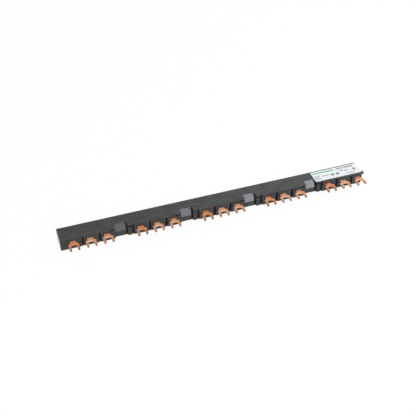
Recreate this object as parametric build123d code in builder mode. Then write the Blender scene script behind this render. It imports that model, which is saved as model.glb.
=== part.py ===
import os

from build123d import *

# A comb busbar: three flat copper conductors lie one above the other in an insulating housing,
# and each sends one fork out of the front for every outlet, so an outlet is a row of three forks.
# X runs along the bar, Y from the fork tips to the back, Z up. The origin is under the middle of
# the whole bar, forks included. All sizes are in millimetres.

# Outlets and forks along the bar
outlets = 5
poles = 3
outlet_pitch = 54.0
pole_pitch = 13.5
left_margin = 9.1
right_margin = 3.7

# Housing
housing_depth = 14.6
housing_height = 10.6
wall = 1.3
end_wall = 0.9
floor_thick = 1.4
cover_thick = 1.0
back_edge_chamfer = 0.3
front_edge_chamfer = 0.2

# Slots in the front wall that take the ribs between two terminals; the floor closes them below
rib_slot_width = 1.7
rib_slot_depth = 2.6
rib_slot_shift = 1.2
rib_floor_cut = 0.5

# Towers round the forks, and the relief, slots and block between two outlets
tower_lead = 5.1
tower_tail = 6.8
relief_width = 8.9
relief_setback = 1.8
ramp_foot_z = 4.8
ramp_reach = 5.0
ramp_pad = 0.2
end_slot_width = 1.4
end_slot_depth = 3.9
block_slot_width = 1.4
block_floor_cut = 0.8
block_cover_cut = 0.9
block_setback = 0.4
block_drop = 1.9
block_bevel = 0.5
block_ledge = 2.6

# Latch marks beside the relief, half in the tray's rim and half in the cover's edge
latch_width = 4.2
latch_depth = 1.0
latch_fall = 0.9
latch_rise = 0.6

# Conductors and the strips between them
bar_thick = 1.2
bar_end_gap = 0.3
side_gap = 0.2
strip_lip = 0.2
strip_gap = 0.2
stack_gap = 0.1

# Forks
fork_reach = 9.7
fork_top = 6.9
first_pole_lift = 0.4
first_pole_drop = 0.1
neck_width = 4.6
neck_length = 2.0
shoulder_length = 1.4
fork_width = 8.1
fork_slot_width = 4.7
fork_slot_depth = 6.4
prong_tip_radius = 0.7
shoulder_radius = 0.6
bend_radius = 1.3
inner_bend_y = 4.1
outer_bend_y = 1.9
window_gap = 0.3
tab_fit = 0.2

# End caps
cap_flange = 0.6
cap_top_drop = 0.5
cap_corner = 2.0
cap_dome = 0.4
lug_reach = 1.6
lug_depth = 3.0
lug_height = 1.6
lug_corner = 0.5
plug_depth = 1.2
plug_fit = 0.1

# Label
label_length = 41.0
label_margin = 0.9
label_end_gap = 0.4
label_thick = 0.12
label_corner = 0.4

# Places that follow from the sizes above
housing_length = left_margin + (outlets - 1) * outlet_pitch + (poles - 1) * pole_pitch + right_margin
overall_length = housing_length + 2 * cap_flange + lug_reach
left = cap_flange - overall_length / 2
right = left + housing_length
middle = (left + right) / 2
front = (fork_reach - housing_depth) / 2
back = front + housing_depth
rim_z = housing_height - cover_thick
first_fork = left + left_margin
channel_front = front + rib_slot_depth + wall
channel_back = back - wall
pad_back = front + ramp_reach + ramp_pad
bar_front = pad_back + strip_gap + strip_lip
bar_back = channel_back - side_gap
bar_end = plug_depth + bar_end_gap
strip_thick = (rim_z - floor_thick - stack_gap - poles * bar_thick) / (poles - 1)
layer_pitch = bar_thick + strip_thick
past = 2.0


def outlet_starts():
    """X of the first fork of every outlet."""
    return [first_fork + outlet * outlet_pitch for outlet in range(outlets)]


def fork_centres(pole):
    """X of one pole's fork in every outlet."""
    return [start + pole * pole_pitch for start in outlet_starts()]


def rib_slot_centre(gap):
    """Middle of the slot after fork number gap, counted from an outlet's first fork."""
    return (gap + 0.5) * pole_pitch + rib_slot_shift


def relief_starts():
    """X where each relief between two outlets begins, at the right side of a third tower."""
    return [x + tower_tail for x in fork_centres(poles - 1)[:-1]]


def block_starts():
    """X of the left side of the small block that follows every relief."""
    return [x + relief_width + end_slot_width for x in relief_starts()]


def block_ends():
    """X of the right side of every small block, a slot's width ahead of the next outlet."""
    return [start - tower_lead - block_slot_width for start in outlet_starts()[1:]]


def layer_z(pole):
    """Underside of a pole's conductor. The first pole lies on top."""
    return floor_thick + (poles - 1 - pole) * layer_pitch


def neck_top(pole):
    """Top of a fork where it leaves the front wall."""
    return fork_top + (first_pole_lift if pole == 0 else 0)


def tip_top(pole):
    """Top of a fork at its tips."""
    return fork_top - (first_pole_drop if pole == 0 else 0)


def cut_front(x_from, x_to, cut_depth):
    """Takes a rectangle out of the front edge of the sketch in hand."""
    with Locations(((x_from + x_to) / 2, front + cut_depth)):
        Rectangle(x_to - x_from, cut_depth + past, align=(Align.CENTER, Align.MAX), mode=Mode.SUBTRACT)


def tray_outline(rib_cut, end_cut, block_slot_cut):
    """Plan of the tray, its front edge cut back at the slots, the reliefs and the small blocks."""
    with Locations((middle, front)):
        Rectangle(housing_length, housing_depth, align=(Align.CENTER, Align.MIN))
    for start in outlet_starts():
        for gap in range(poles - 1):
            centre = start + rib_slot_centre(gap)
            cut_front(centre - rib_slot_width / 2, centre + rib_slot_width / 2, rib_cut)
    for start in relief_starts():
        relief_end = start + relief_width
        cut_front(start, relief_end, relief_setback)
        cut_front(relief_end, relief_end + end_slot_width, end_cut)
    for block_from, block_to in zip(block_starts(), block_ends()):
        cut_front(block_from, block_to, block_setback)
        cut_front(block_to, block_to + block_slot_width, block_slot_cut)


def relief_wedges():
    """The space in front of the sloped face of every relief, as one cutting shape."""
    with BuildPart() as wedges:
        for start in relief_starts():
            with BuildSketch(Plane.YZ.offset(start)):
                with BuildLine():
                    rise = housing_height - ramp_foot_z
                    slope = (ramp_reach - relief_setback) / rise
                    top = housing_height + past
                    Polyline(
                        (front - past, -past),
                        (front + relief_setback, -past),
                        (front + relief_setback, ramp_foot_z),
                        (front + ramp_reach + slope * past, top),
                        (front - past, top),
                        close=True,
                    )
                make_face()
            extrude(amount=relief_width)
    return wedges.part


def latch_marks():
    """The space of the latch marks, at the right side of every third tower, as one cutting shape."""
    with BuildPart() as marks:
        with BuildSketch(Plane.XY.offset(rim_z - latch_fall)):
            for start in relief_starts():
                with Locations((start, front + latch_depth)):
                    Rectangle(latch_width, latch_depth + past, align=(Align.MAX, Align.MAX))
        extrude(amount=latch_fall + latch_rise)
    return marks.part


def finish(part, name):
    """Names a finished piece and writes it."""
    part.label = name
    export_step(part, f"parts/{name}.step")


os.makedirs("parts", exist_ok=True)

# Lower shell: floor, back wall and the front wall with its towers, all one moulding
with BuildPart() as housing_tray:
    with BuildSketch():
        tray_outline(rib_floor_cut, relief_setback, block_floor_cut)
    extrude(amount=floor_thick)
    with BuildSketch(Plane.XY.offset(floor_thick)):
        tray_outline(rib_slot_depth, end_slot_depth, rib_slot_depth)
    extrude(amount=rim_z - floor_thick)

    # The channel for the conductors runs out through both ends, and each tower has its own pocket.
    with BuildSketch(Plane.XY.offset(floor_thick)):
        with Locations((middle, channel_front)):
            Rectangle(housing_length + past, channel_back - channel_front, align=(Align.CENTER, Align.MIN))
        for start in outlet_starts():
            edges = [-tower_lead]
            for gap in range(poles - 1):
                slot_from = rib_slot_centre(gap) - rib_slot_width / 2
                edges += [slot_from, slot_from + rib_slot_width]
            edges.append((poles - 1) * pole_pitch + tower_tail)
            for tower in range(poles):
                pocket_from = start + edges[2 * tower] + wall
                pocket_to = min(start + edges[2 * tower + 1] - wall, right - end_wall)
                with Locations(((pocket_from + pocket_to) / 2, front + wall)):
                    Rectangle(
                        pocket_to - pocket_from,
                        channel_front - front - wall,
                        align=(Align.CENTER, Align.MIN),
                    )
    extrude(amount=housing_height, mode=Mode.SUBTRACT)

    # A pad behind each relief and the slot beside it keeps the wall whole where they cut into it.
    with BuildSketch():
        for start in relief_starts():
            with Locations((start - wall / 2, channel_front)):
                pad_length = relief_width + end_slot_width + wall
                Rectangle(pad_length, pad_back - channel_front, align=(Align.MIN, Align.MIN))
    extrude(amount=rim_z)
    add(relief_wedges(), mode=Mode.SUBTRACT)

    # Windows for the necks are open at the top until the cover closes them.
    for pole in range(poles):
        sill = neck_top(pole) - bar_thick - window_gap
        with BuildSketch(Plane.XY.offset(sill)):
            with Locations(*[(x, front + wall) for x in fork_centres(pole)]):
                Rectangle(neck_width + 2 * window_gap, wall + past, align=(Align.CENTER, Align.MAX))
        extrude(amount=housing_height, mode=Mode.SUBTRACT)
    add(latch_marks(), mode=Mode.SUBTRACT)

    # The small blocks are bevelled and end just under the cover, so a dark gap stays open there.
    for block_from, block_to in zip(block_starts(), block_ends()):
        with BuildSketch(Plane.YZ.offset(block_from)):
            with BuildLine():
                block_front = front + block_setback
                block_top = rim_z - block_drop
                Polyline(
                    (block_front - past, block_top - block_bevel),
                    (block_front, block_top - block_bevel),
                    (block_front + block_bevel, block_top),
                    (front + block_ledge, block_top),
                    (front + block_ledge, rim_z + past),
                    (block_front - past, rim_z + past),
                    close=True,
                )
            make_face()
        extrude(amount=block_to - block_from, mode=Mode.SUBTRACT)
finish(housing_tray.part, "housing_tray")

# Top plate, with a tab that fills each window down to its fork
with BuildPart() as housing_cover:
    with BuildSketch(Plane.XY.offset(rim_z)):
        with Locations((middle, front)):
            Rectangle(housing_length, housing_depth, align=(Align.CENTER, Align.MIN))
        for start in relief_starts():
            relief_end = start + relief_width
            cut_front(relief_end, relief_end + end_slot_width, end_slot_depth)
        for block_to in block_ends():
            cut_front(block_to, block_to + block_slot_width, block_cover_cut)
    extrude(amount=cover_thick)
    top_edges = faces().sort_by(Axis.Z)[-1].edges()
    chamfer(top_edges.sort_by(Axis.Y)[-1], length=back_edge_chamfer)
    near_front = front + front_edge_chamfer
    front_edges = [edge for edge in top_edges.filter_by(Axis.X) if edge.center().Y < near_front]
    chamfer(front_edges, length=front_edge_chamfer)
    add(relief_wedges(), mode=Mode.SUBTRACT)
    add(latch_marks(), mode=Mode.SUBTRACT)
    for pole in range(poles):
        tab_foot = neck_top(pole) + tab_fit
        with BuildSketch(Plane.XY.offset(tab_foot)):
            with Locations(*[(x, front) for x in fork_centres(pole)]):
                Rectangle(neck_width + 2 * (window_gap - tab_fit), wall, align=(Align.CENTER, Align.MIN))
        extrude(amount=rim_z - tab_foot)
finish(housing_cover.part, "housing_cover")

# Conductors: each is one stamping, a flat bar whose forks are bent to one common height
for pole in range(poles):
    bar_mid_y = (bar_front + bar_back) / 2
    bar_mid_z = layer_z(pole) + bar_thick / 2
    neck_mid_z = neck_top(pole) - bar_thick / 2
    tip_mid_z = tip_top(pole) - bar_thick / 2
    tip_y = front - fork_reach

    # The strip's side view is cut to the fork's outline seen from above.
    with BuildPart() as fork:
        with BuildSketch(Plane.YZ):
            with BuildLine() as side_path:
                FilletPolyline(
                    (bar_mid_y, bar_mid_z),
                    (front + inner_bend_y, bar_mid_z),
                    (front + outer_bend_y, neck_mid_z),
                    (tip_y - past, tip_mid_z - (neck_mid_z - tip_mid_z) * past / fork_reach),
                    radius=bend_radius,
                )
            trace(line_width=bar_thick)
        extrude(amount=fork_width / 2, both=True)
        with BuildSketch():
            shoulder_y = front - neck_length
            head_y = shoulder_y - shoulder_length
            with BuildLine():
                Polyline(
                    (neck_width / 2, bar_mid_y),
                    (neck_width / 2, shoulder_y),
                    (fork_width / 2, head_y),
                    (fork_width / 2, tip_y),
                    (-fork_width / 2, tip_y),
                    (-fork_width / 2, head_y),
                    (-neck_width / 2, shoulder_y),
                    (-neck_width / 2, bar_mid_y),
                    close=True,
                )
            make_face()
            shoulders = vertices().filter_by_position(Axis.Y, head_y, shoulder_y)
            fillet(shoulders, radius=shoulder_radius)
            slot_centre_y = tip_y + fork_slot_depth - fork_slot_width / 2
            with Locations((0, slot_centre_y)):
                Circle(fork_slot_width / 2, mode=Mode.SUBTRACT)
                Rectangle(
                    fork_slot_width,
                    fork_slot_depth,
                    align=(Align.CENTER, Align.MAX),
                    mode=Mode.SUBTRACT,
                )
            fillet(vertices().group_by(Axis.Y)[0], radius=prong_tip_radius)
        extrude(amount=housing_height, mode=Mode.INTERSECT)

    with BuildPart() as conductor:
        with BuildSketch(Plane.XY.offset(layer_z(pole))):
            with Locations((middle, bar_mid_y)):
                Rectangle(housing_length - 2 * bar_end, bar_back - bar_front)
        extrude(amount=bar_thick)
        with Locations(*[(x, 0, 0) for x in fork_centres(pole)]):
            add(fork.part)
    finish(conductor.part, f"conductor_l{pole + 1}")

# Insulating strips between the conductors
for layer, name in enumerate(("lower_strip", "upper_strip")):
    with BuildPart() as strip:
        with BuildSketch(Plane.XY.offset(floor_thick + bar_thick + layer * layer_pitch)):
            with Locations((middle, bar_back)):
                strip_length = housing_length - 2 * bar_end + bar_end_gap
                strip_width = bar_back - bar_front + strip_lip
                Rectangle(strip_length, strip_width, align=(Align.CENTER, Align.MAX))
        extrude(amount=strip_thick)
    finish(strip.part, name)

# End caps: a flange over the end of both shells, with a plug that fills the channel's mouth. The
# right one has a small lug at its top front corner.
for side, end_x, name in ((-1, left, "left_end_cap"), (1, right, "right_end_cap")):
    end_plane = Plane(origin=(end_x, 0, 0), x_dir=(0, side, 0), z_dir=(side, 0, 0))
    with BuildPart() as cap:
        with BuildSketch(end_plane):
            cap_height = housing_height - cap_top_drop
            with Locations((side * (front + back) / 2, cap_height / 2)):
                RectangleRounded(housing_depth, cap_height, cap_corner)
        extrude(amount=cap_flange)
        fillet(faces().sort_by(Axis.X, reverse=side > 0)[0].edges(), radius=cap_dome)
        with BuildSketch(end_plane):
            plug_width = channel_back - channel_front - 2 * plug_fit
            plug_height = rim_z - floor_thick - 2 * plug_fit
            with Locations((side * (channel_front + channel_back) / 2, (floor_thick + rim_z) / 2)):
                Rectangle(plug_width, plug_height)
        extrude(amount=-plug_depth)
        if side > 0:
            with BuildSketch(end_plane):
                with Locations((front + lug_depth / 2, cap_height - lug_height / 2)):
                    RectangleRounded(lug_depth, lug_height, lug_corner)
            extrude(amount=cap_flange + lug_reach)
    finish(cap.part, name)

# A bare label on the top plate, near the right end
with BuildPart() as rating_label:
    with BuildSketch(Plane.XY.offset(housing_height)):
        with Locations((right - label_end_gap - label_length / 2, (front + back) / 2)):
            RectangleRounded(label_length, housing_depth - 2 * label_margin, label_corner)
    extrude(amount=label_thick)
finish(rating_label.part, "rating_label")
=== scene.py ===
import math
import bpy
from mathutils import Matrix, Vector


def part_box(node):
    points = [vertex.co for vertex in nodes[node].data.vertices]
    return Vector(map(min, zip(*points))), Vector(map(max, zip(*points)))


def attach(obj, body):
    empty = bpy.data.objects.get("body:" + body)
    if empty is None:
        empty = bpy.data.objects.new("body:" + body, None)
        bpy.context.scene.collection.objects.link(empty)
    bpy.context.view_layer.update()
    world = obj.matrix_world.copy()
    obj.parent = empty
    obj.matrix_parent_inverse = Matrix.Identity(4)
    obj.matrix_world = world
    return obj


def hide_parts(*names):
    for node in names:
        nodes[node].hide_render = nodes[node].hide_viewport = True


# three-phase comb busbar lying on a white ground, seen from the front left and above
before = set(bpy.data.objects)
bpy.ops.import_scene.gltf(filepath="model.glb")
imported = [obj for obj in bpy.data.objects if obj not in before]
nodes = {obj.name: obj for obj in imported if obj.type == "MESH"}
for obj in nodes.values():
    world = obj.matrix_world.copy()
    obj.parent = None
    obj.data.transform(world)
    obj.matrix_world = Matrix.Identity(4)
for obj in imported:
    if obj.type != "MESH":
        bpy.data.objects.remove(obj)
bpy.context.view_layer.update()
print("frame loaded:", len(nodes), "nodes")


# small helpers

def deselectAll():
    if bpy.context.object and bpy.context.object.mode != "OBJECT":
        bpy.ops.object.mode_set(mode="OBJECT")
    bpy.ops.object.select_all(action="DESELECT")


def newMaterial(name):
    material = bpy.data.materials.new(name)
    material.use_nodes = True
    tree = material.node_tree
    return material, tree, tree.nodes["Principled BSDF"]


def feed(tree, socket, value):
    # value is a number, a colour or the output of another node
    if isinstance(value, (int, float)):
        socket.default_value = value
    elif isinstance(value, (tuple, list)):
        socket.default_value = (*value, 1)
    else:
        tree.links.new(value, socket)


def addNode(tree, kind, place, **settings):
    node = tree.nodes.new(kind)
    node.location = place
    for name, value in settings.items():
        setattr(node, name, value)
    return node


def addObjectCoords(tree, place):
    return addNode(tree, "ShaderNodeTexCoord", place).outputs["Object"]


def addStretch(tree, coords, scale, place):
    stretch = addNode(tree, "ShaderNodeMapping", place)
    stretch.inputs["Scale"].default_value = scale
    feed(tree, stretch.inputs["Vector"], coords)
    return stretch.outputs["Vector"]


def addAxes(tree, coords, place):
    axes = addNode(tree, "ShaderNodeSeparateXYZ", place)
    feed(tree, axes.inputs["Vector"], coords)
    return axes.outputs


def addNoise(tree, coords, scale, detail, place, roughness=0.5):
    noise = addNode(tree, "ShaderNodeTexNoise", place)
    noise.inputs["Scale"].default_value = scale
    noise.inputs["Detail"].default_value = detail
    noise.inputs["Roughness"].default_value = roughness
    feed(tree, noise.inputs["Vector"], coords)
    return noise.outputs["Fac"]


def addRange(tree, value, fromLow, fromHigh, low, high, place):
    spread = addNode(tree, "ShaderNodeMapRange", place)
    spread.inputs["From Min"].default_value = fromLow
    spread.inputs["From Max"].default_value = fromHigh
    spread.inputs["To Min"].default_value = low
    spread.inputs["To Max"].default_value = high
    feed(tree, spread.inputs["Value"], value)
    return spread.outputs["Result"]


def addMath(tree, operation, place, *values):
    node = addNode(tree, "ShaderNodeMath", place, operation=operation)
    for socket, value in zip(node.inputs, values):
        feed(tree, socket, value)
    return node.outputs["Value"]


# a mix node has a set of sockets for every kind of data, and these are the ones for colours
mixSockets = {"factor": 0, "first": 6, "second": 7, "result": 2}


def addMix(tree, factor, first, second, place, blend="MIX"):
    node = addNode(tree, "ShaderNodeMix", place, data_type="RGBA", blend_type=blend)
    feed(tree, node.inputs[mixSockets["factor"]], factor)
    feed(tree, node.inputs[mixSockets["first"]], first)
    feed(tree, node.inputs[mixSockets["second"]], second)
    return node.outputs[mixSockets["result"]]


# the values of a noise at which its first and its second colour stand alone
noiseReach = {"low": 0.35, "high": 0.65}


def addTwoColours(tree, factor, first, second, place):
    node = addNode(tree, "ShaderNodeValToRGB", place)
    lower, upper = node.color_ramp.elements
    lower.position, upper.position = noiseReach["low"], noiseReach["high"]
    lower.color, upper.color = (*first, 1), (*second, 1)
    feed(tree, node.inputs["Fac"], factor)
    return node.outputs["Color"]


def addBump(tree, height, strength, distance, place):
    bump = addNode(tree, "ShaderNodeBump", place)
    bump.inputs["Strength"].default_value = strength
    bump.inputs["Distance"].default_value = distance
    feed(tree, bump.inputs["Height"], height)
    return bump.outputs["Normal"]


def addWhiteRays(tree, place):
    # 1 for the rays that see the background: from the camera, mirrored or let through
    rays = addNode(tree, "ShaderNodeLightPath", place).outputs
    x, y = place
    seen = addMath(tree, "MAXIMUM", (x + 200, y), rays["Is Camera Ray"], rays["Is Glossy Ray"])
    return addMath(tree, "MAXIMUM", (x + 400, y), seen, rays["Is Transmission Ray"])


# moulded housing: nearly black and matt, with a spark-eroded grain, flow streaks along the bar
# and smoother ramps
housingFinish = {
    "dark": (0.034, 0.0335, 0.0325),
    "light": (0.057, 0.057, 0.0585),
    "cloudScale": 300,
    "cloudDetail": 4,
    "cloudStretch": (0.35, 1.0, 1.0),
    "grainScale": 3200,
    "grainDetail": 3,
    "grainRoughness": 0.6,
    "grainStrength": 0.1,
    "grainHeight": 0.00002,
    "specular": 0.25,
    "rough": 0.55,
    "rampRough": 0.36,
    # the ramps: x of the first one, distance from one to the next, width, and the middle and
    # half of their depth
    "rampStart": -0.0858,
    "rampPitch": 0.054,
    "rampWidth": 0.0089,
    "rampMiddle": 0.00098,
    "rampHalf": 0.0016,
}

# left end cap: the same plastic from a smoother mould, which mirrors the ground
capFinish = {"specular": 0.36, "rough": 0.2}


def addRampMask(tree, axes, finish):
    # 1 on the sloped ramps between two outlets, 0 elsewhere
    along = addMath(tree, "SUBTRACT", (-1100, 0), axes["X"], finish["rampStart"])
    turn = addMath(tree, "DIVIDE", (-950, 0), along, finish["rampPitch"])
    share = addMath(tree, "FRACT", (-800, 0), turn)
    widthShare = finish["rampWidth"] / finish["rampPitch"]
    across = addMath(tree, "LESS_THAN", (-650, 0), share, widthShare)
    deep = addMath(tree, "COMPARE", (-950, -170), axes["Y"],
                   finish["rampMiddle"], finish["rampHalf"])
    return addMath(tree, "MULTIPLY", (-500, -80), across, deep)


def makeHousingMaterial(name, finish):
    material, tree, shader = newMaterial(name)
    coords = addObjectCoords(tree, (-1500, 0))
    streaks = addStretch(tree, coords, finish["cloudStretch"], (-1300, 250))
    cloud = addNoise(tree, streaks, finish["cloudScale"], finish["cloudDetail"], (-1100, 250))
    colour = addTwoColours(tree, cloud, finish["dark"], finish["light"], (-600, 250))
    onRamp = addRampMask(tree, addAxes(tree, coords, (-1300, -50)), finish)
    rough = addRange(tree, onRamp, 0, 1, finish["rough"], finish["rampRough"], (-300, -50))
    grain = addNoise(tree, coords, finish["grainScale"], finish["grainDetail"], (-900, -350),
                     finish["grainRoughness"])
    bump = addBump(tree, grain, finish["grainStrength"], finish["grainHeight"], (-300, -350))
    feed(tree, shader.inputs["Specular IOR Level"], finish["specular"])
    feed(tree, shader.inputs["Base Color"], colour)
    feed(tree, shader.inputs["Roughness"], rough)
    feed(tree, shader.inputs["Normal"], bump)
    return material


# stamped copper: rolled faces with painted light on the neck and darker towards the tips, and cut
# edges with painted shade at the sides and a painted highlight at the slot root
copperFinish = {
    "cloudScale": 260,
    "cloudDetail": 5,
    "brushScale": 2600,
    "brushDetail": 3,
    "brushRoughness": 0.6,
    "brushStretch": (1.0, 0.08, 1.0),
    "brushStrength": 0.3,
    "brushHeight": 0.000012,
    "brushLow": 0.3,
    "brushHigh": 0.7,
    "metal": 0.4,
    "roughLow": 0.46,
    "roughHigh": 0.56,
    # half the sheet's thickness, and the depths where the slot root begins and ends
    "sheetHalf": 0.00056,
    "rootFrom": -0.0075,
    "rootTo": -0.0066,
    # how bright the rolled faces are from the tips to the neck, darker towards the tips and with
    # painted light on the neck: depth in metres, share
    "paintedLightStops": [
        (-0.0118, 0.38), (-0.0102, 0.50), (-0.0072, 0.60),
        (-0.0060, 0.86), (-0.0046, 0.92), (-0.0036, 1.0),
    ],
}

# the first pole's forks slope down a little, and their paints are a darker, deeper orange copy of
# the same copper: painted shade on the faces and sides and a deeper orange painted highlight at
# the slot root. middle is the height of the sheet's middle at y = 0, and slope its rise towards the
# back
copperPaints = {
    "conductor_l1": {
        "fresh": (0.94, 0.41, 0.19),
        "handled": (0.80, 0.31, 0.13),
        "side": (0.32, 0.11, 0.045),
        "root": (0.72, 0.26, 0.06),
        "middle": 0.0067244,
        "slope": 0.04434,
    },
    "conductor_l2": {
        "fresh": (0.99, 0.54, 0.32),
        "handled": (0.95, 0.47, 0.27),
        "side": (0.54, 0.23, 0.125),
        "root": (0.86, 0.56, 0.39),
        "middle": 0.0063,
        "slope": 0.0,
    },
    "conductor_l3": {
        "fresh": (0.99, 0.50, 0.27),
        "handled": (0.94, 0.43, 0.22),
        "side": (0.50, 0.21, 0.11),
        "root": (0.84, 0.50, 0.32),
        "middle": 0.0063,
        "slope": 0.0,
    },
}


def addPaintedLightRamp(tree, depth, stops, place):
    # a grey that follows the stops from the tips to the neck, the painted light of the rolled faces
    first, last = stops[0][0], stops[-1][0]
    along = addRange(tree, depth, first, last, 0, 1, (place[0] - 200, place[1]))
    node = addNode(tree, "ShaderNodeValToRGB", place)
    feed(tree, node.inputs["Fac"], along)
    elements = node.color_ramp.elements
    for stop, _ in stops[1:-1]:
        elements.new((stop - first) / (last - first))
    for element, (_, share) in zip(elements, stops):
        element.color = (share, share, share, 1)
    return node.outputs["Color"]


def makeCopperMaterial(name, finish, paint):
    material, tree, shader = newMaterial(name)
    coords = addObjectCoords(tree, (-1500, 0))
    axes = addAxes(tree, coords, (-1300, 0))

    # rolled faces, with painted light on the neck and darker towards the tips
    cloud = addNoise(tree, coords, finish["cloudScale"], finish["cloudDetail"], (-1300, 350))
    face = addTwoColours(tree, cloud, paint["handled"], paint["fresh"], (-1000, 350))
    share = addPaintedLightRamp(tree, axes["Y"], finish["paintedLightStops"], (-950, 600))
    paintedLitFace = addMix(tree, 1.0, face, share, (-700, 450), "MULTIPLY")

    # cut edges, told by their height in the sheet: painted shade at the sides, a painted highlight
    # at the slot root
    nearRoot = addRange(tree, axes["Y"], finish["rootFrom"], finish["rootTo"], 0, 1, (-1000, 100))
    edge = addMix(tree, nearRoot, paint["side"], paint["root"], (-750, 150))
    rise = addMath(tree, "MULTIPLY", (-1150, -100), axes["Y"], paint["slope"])
    height = addMath(tree, "SUBTRACT", (-1000, -100), axes["Z"], rise)
    onEdge = addMath(tree, "COMPARE", (-850, -100), height, paint["middle"], finish["sheetHalf"])
    colour = addMix(tree, onEdge, paintedLitFace, edge, (-500, 250))

    # rolling lines along the fork
    lines = addStretch(tree, coords, finish["brushStretch"], (-1300, -550))
    brush = addNoise(tree, lines, finish["brushScale"], finish["brushDetail"], (-1000, -550),
                     finish["brushRoughness"])
    rough = addRange(tree, brush, finish["brushLow"], finish["brushHigh"],
                     finish["roughLow"], finish["roughHigh"], (-600, -450))
    bump = addBump(tree, brush, finish["brushStrength"], finish["brushHeight"], (-300, -650))

    feed(tree, shader.inputs["Metallic"], finish["metal"])
    feed(tree, shader.inputs["Base Color"], colour)
    feed(tree, shader.inputs["Roughness"], rough)
    feed(tree, shader.inputs["Normal"], bump)
    return material


def makeMottledMaterial(name, finish, paint):
    # a plain surface with two near colours and a slight relief
    material, tree, shader = newMaterial(name)
    coords = addObjectCoords(tree, (-1100, 0))
    mottle = addNoise(tree, coords, finish["scale"], finish["detail"], (-900, 100),
                      finish["roughness"])
    colour = addTwoColours(tree, mottle, paint["dark"], paint["light"], (-600, 150))
    bump = addBump(tree, mottle, finish["strength"], finish["height"], (-300, -200))
    feed(tree, shader.inputs["Roughness"], finish["rough"])
    feed(tree, shader.inputs["Base Color"], colour)
    feed(tree, shader.inputs["Normal"], bump)
    return material


# insulating strips: matt grey fibre-filled sheet
stripFinish = {
    "paint": {"dark": (0.10, 0.10, 0.105), "light": (0.14, 0.14, 0.145)},
    "scale": 1500,
    "detail": 4,
    "roughness": 0.6,
    "strength": 0.3,
    "height": 0.00002,
    "rough": 0.6,
}

# label film and its printed fields
labelFinish = {
    "film": {"dark": (0.75, 0.775, 0.81), "light": (0.80, 0.82, 0.85)},
    "inks": {
        "grey": {"dark": (0.104, 0.112, 0.112), "light": (0.13, 0.14, 0.14)},
        "green": {"dark": (0.0595, 0.34, 0.119), "light": (0.07, 0.40, 0.14)},
        "pale": {"dark": (0.378, 0.396, 0.414), "light": (0.42, 0.44, 0.46)},
    },
    "scale": 700,
    "detail": 3,
    "roughness": 0.5,
    "strength": 0.1,
    "height": 0.00001,
    "rough": 0.34,
}

housingMaterial = makeHousingMaterial("housingPlastic", housingFinish)
capMaterial = makeHousingMaterial("capPlastic", {**housingFinish, **capFinish})
stripMaterial = makeMottledMaterial("insulatingStrip", stripFinish, stripFinish["paint"])
filmMaterial = makeMottledMaterial("labelFilm", labelFinish, labelFinish["film"])
inkMaterials = {
    ink: makeMottledMaterial(ink + "Ink", labelFinish, paint)
    for ink, paint in labelFinish["inks"].items()
}

nodeMaterials = {
    "housing_tray": housingMaterial,
    "housing_cover": housingMaterial,
    "right_end_cap": housingMaterial,
    "upper_strip": stripMaterial,
    "lower_strip": stripMaterial,
}
for nodeName, paint in copperPaints.items():
    nodeMaterials[nodeName] = makeCopperMaterial("copper_" + nodeName, copperFinish, paint)
for nodeName, material in nodeMaterials.items():
    slots = nodes[nodeName].data.materials
    slots.clear()
    slots.append(material)
print("materials given to", len(nodeMaterials), "nodes")


# label: a film with plain printed fields, standing for the CAD label and running on over the
# right end cap
labelPrint = {
    "filmThick": 0.00010,
    "overhang": 0.0009,
    "backInset": 0.0004,
    "fields": [
        # ink, from the left edge, from the back edge, length, height, in metres
        ("green", 0.0012, 0.0015, 0.0188, 0.0015),
        ("grey", 0.0230, 0.0013, 0.0054, 0.0014),
        ("grey", 0.0296, 0.0013, 0.0084, 0.0014),
        ("grey", 0.0010, 0.0058, 0.0052, 0.0007),
        ("grey", 0.0010, 0.0078, 0.0040, 0.0007),
        ("grey", 0.0010, 0.0094, 0.0052, 0.0007),
        ("grey", 0.0076, 0.0068, 0.0070, 0.0008),
        ("grey", 0.0158, 0.0064, 0.0028, 0.0028),
        ("grey", 0.0202, 0.0064, 0.0028, 0.0028),
        ("grey", 0.0250, 0.0048, 0.0026, 0.0010),
        ("grey", 0.0286, 0.0058, 0.0032, 0.0010),
        ("grey", 0.0364, 0.0050, 0.0024, 0.0024),
        ("pale", 0.0294, 0.0090, 0.0076, 0.0009),
        ("pale", 0.0306, 0.0106, 0.0062, 0.0009),
    ],
}
cutDecimals = 6  # cuts that are the same to a thousandth of a millimetre are made once


def cutAcross(places, axis):
    # cuts the mesh in hand at every place along one axis
    for place in sorted({round(value, cutDecimals) for value in places}):
        bpy.ops.mesh.select_all(action="SELECT")
        bpy.ops.mesh.bisect(plane_co=[place * part for part in axis], plane_no=axis)


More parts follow.
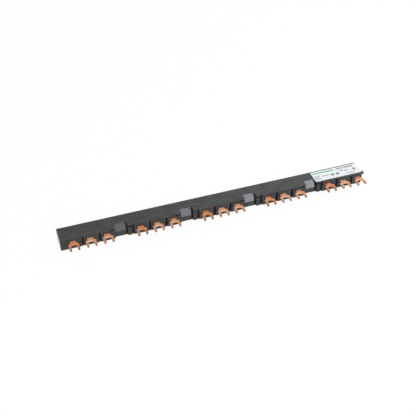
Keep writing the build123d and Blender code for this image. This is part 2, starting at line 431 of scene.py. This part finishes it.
def buildLabel(spec):
    low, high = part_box("rating_label")
    high = [high[0] + spec["overhang"], high[1] - spec["backInset"], high[2]]
    middle = ((low[0] + high[0]) / 2, (low[1] + high[1]) / 2, low[2])
    deselectAll()
    bpy.ops.mesh.primitive_plane_add(size=1, location=middle)
    label = bpy.context.object
    label.name = "labelFilm"
    label.scale = (high[0] - low[0], high[1] - low[1], 1)
    bpy.ops.object.transform_apply(location=True, rotation=False, scale=True)
    for material in (filmMaterial, *inkMaterials.values()):
        label.data.materials.append(material)

    # the film is cut along the sides of every field, so each field is a set of whole faces
    boxes = []
    for ink, fromLeft, fromBack, length, height in spec["fields"]:
        x0, y1 = low[0] + fromLeft, high[1] - fromBack
        boxes.append((ink, x0, y1 - height, x0 + length, y1))
    bpy.ops.object.mode_set(mode="EDIT")
    cutAcross([x for _, x0, _, x1, _ in boxes for x in (x0, x1)], (1, 0, 0))
    cutAcross([y for _, _, y0, _, y1 in boxes for y in (y0, y1)], (0, 1, 0))
    bpy.ops.object.mode_set(mode="OBJECT")
    inkSlots = {ink: slot for slot, ink in enumerate(inkMaterials, start=1)}
    for face in label.data.polygons:
        for ink, x0, y0, x1, y1 in boxes:
            if x0 < face.center.x < x1 and y0 < face.center.y < y1:
                face.material_index = inkSlots[ink]

    bpy.ops.object.mode_set(mode="EDIT")
    bpy.ops.mesh.select_all(action="SELECT")
    bpy.ops.mesh.extrude_region_move(
        TRANSFORM_OT_translate={"value": (0, 0, spec["filmThick"])})
    bpy.ops.mesh.select_all(action="SELECT")
    bpy.ops.mesh.normals_make_consistent(inside=False)
    bpy.ops.object.mode_set(mode="OBJECT")
    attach(label, "root")
    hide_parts("rating_label")


buildLabel(labelPrint)
print("label built")


# left end cap: a thin plate flush with both shells and crisp at its corners, standing for the
# rounder CAD cap; rise is how far the shells' top lies above the CAD cap's
capPlate = {"rise": 0.0005, "edge": 0.00016, "edgeSteps": 2}


def buildCapPlate(spec):
    low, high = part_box("left_end_cap")
    trayLow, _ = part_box("housing_tray")
    size = (trayLow[0] - low[0], high[1] - low[1], high[2] - low[2] + spec["rise"])
    middle = [corner + length / 2 for corner, length in zip(low, size)]
    deselectAll()
    bpy.ops.mesh.primitive_cube_add(size=1, location=middle)
    plate = bpy.context.object
    plate.name = "leftCapPlate"
    plate.scale = size
    bpy.ops.object.transform_apply(location=True, rotation=False, scale=True)
    bpy.ops.object.mode_set(mode="EDIT")
    bpy.ops.mesh.select_all(action="SELECT")
    bpy.ops.mesh.bevel(offset=spec["edge"], segments=spec["edgeSteps"])
    bpy.ops.object.mode_set(mode="OBJECT")
    plate.data.materials.append(capMaterial)
    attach(plate, "root")
    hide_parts("left_end_cap")


buildCapPlate(capPlate)
print("left cap built")


# white ground that runs out of sight, keeps a faint contact shadow, shows white in the copper
# and is clear from below
ground = {
    "size": 6.0,
    "drop": 0.00005,
    "shadowKept": 0.10,
    "glow": 1.03,
    "paint": (0.82, 0.82, 0.82),
    "rough": 0.9,
}


def makeGroundMaterial(spec):
    material, tree, shader = newMaterial("groundWhite")
    feed(tree, shader.inputs["Base Color"], spec["paint"])
    feed(tree, shader.inputs["Roughness"], spec["rough"])
    glow = addNode(tree, "ShaderNodeEmission", (-200, -300))
    feed(tree, glow.inputs["Strength"], spec["glow"])
    whiteRays = addWhiteRays(tree, (-900, 200))
    share = addMath(tree, "MULTIPLY", (-200, 200), whiteRays, 1 - spec["shadowKept"])
    mix = addNode(tree, "ShaderNodeMixShader", (200, 0))
    for socket, value in zip(mix.inputs, (share, shader.outputs["BSDF"], glow.outputs["Emission"])):
        feed(tree, socket, value)

    # from below it is clear
    side = addNode(tree, "ShaderNodeNewGeometry", (200, 300)).outputs["Backfacing"]
    clear = addNode(tree, "ShaderNodeBsdfTransparent", (200, -250)).outputs["BSDF"]
    oneSided = addNode(tree, "ShaderNodeMixShader", (450, 0))
    for socket, value in zip(oneSided.inputs, (side, mix.outputs["Shader"], clear)):
        feed(tree, socket, value)
    output = tree.nodes["Material Output"]
    output.location = (700, 0)
    feed(tree, output.inputs["Surface"], oneSided.outputs["Shader"])
    return material


deselectAll()
bpy.ops.mesh.primitive_plane_add(size=ground["size"], location=(0, 0, -ground["drop"]))
floor = bpy.context.object
floor.name = "ground"
bpy.ops.object.transform_apply(location=True, rotation=False, scale=False)
floor.data.materials.append(makeGroundMaterial(ground))


# sky: even soft white all round, full white where it is seen
sky = {"paint": (1.0, 1.0, 1.0), "fill": 0.62, "seen": 1.0}
world = bpy.data.worlds.new("softSky")
bpy.context.scene.world = world
world.use_nodes = True
skyTree = world.node_tree
skyShader = skyTree.nodes["Background"]
skyRays = addWhiteRays(skyTree, (-900, 0))
skyStrength = addRange(skyTree, skyRays, 0, 1, sky["fill"], sky["seen"], (-300, 0))
feed(skyTree, skyShader.inputs["Color"], sky["paint"])
feed(skyTree, skyShader.inputs["Strength"], skyStrength)


# lamps: two soft boxes at the right that only show as mirror images, in the sloped ramps and on
# the top plate, and two weak ones above and beside the camera
lamps = [
    {
        "name": "frontRightBox", "place": (0.62, -1.40, 0.16), "size": 0.55, "power": 44.5,
        "paint": (0.86, 0.91, 1.0), "glossOnly": True,
    },
    {
        "name": "backRightBox", "place": (0.75, 1.00, 0.75), "size": 0.7, "power": 5.2,
        "paint": (0.90, 0.95, 1.0), "glossOnly": True,
    },
    {
        "name": "topBox", "place": (0.70, -0.25, 0.90), "size": 0.7, "power": 3.2,
        "paint": (1.0, 1.0, 1.0), "glossOnly": False,
    },
    {
        "name": "cameraSideBox", "place": (-0.30, -0.90, 0.80), "size": 0.6, "power": 2.6,
        "paint": (1.0, 0.98, 0.95), "glossOnly": False,
    },
]
for lamp in lamps:
    deselectAll()
    bpy.ops.object.light_add(type="AREA", location=lamp["place"])
    light = bpy.context.object
    light.name = lamp["name"]
    light.data.size = lamp["size"]
    light.data.energy = lamp["power"]
    light.data.color = lamp["paint"]
    light.visible_diffuse = not lamp["glossOnly"]
    towardsBar = -Vector(lamp["place"])
    light.rotation_euler = towardsBar.to_track_quat("-Z", "Y").to_euler()
print("ground, sky and", len(lamps), "lamps set")


# camera: front left and above, as far off as the convergence of the bar's edges asks
view = {
    "place": (-0.1787, -0.4879, 0.4501),
    "tiltDown": 40.576,
    "turnRight": 19.227,
    "lens": 73.32,
    "sensor": 36,
}
deselectAll()
bpy.ops.object.camera_add(
    location=view["place"],
    rotation=(math.radians(90 - view["tiltDown"]), 0, math.radians(-view["turnRight"])))
camera = bpy.context.object
camera.data.lens = view["lens"]
camera.data.sensor_width = view["sensor"]
bpy.context.scene.camera = camera
bpy.context.scene.view_settings.view_transform = "Standard"
print("camera set")
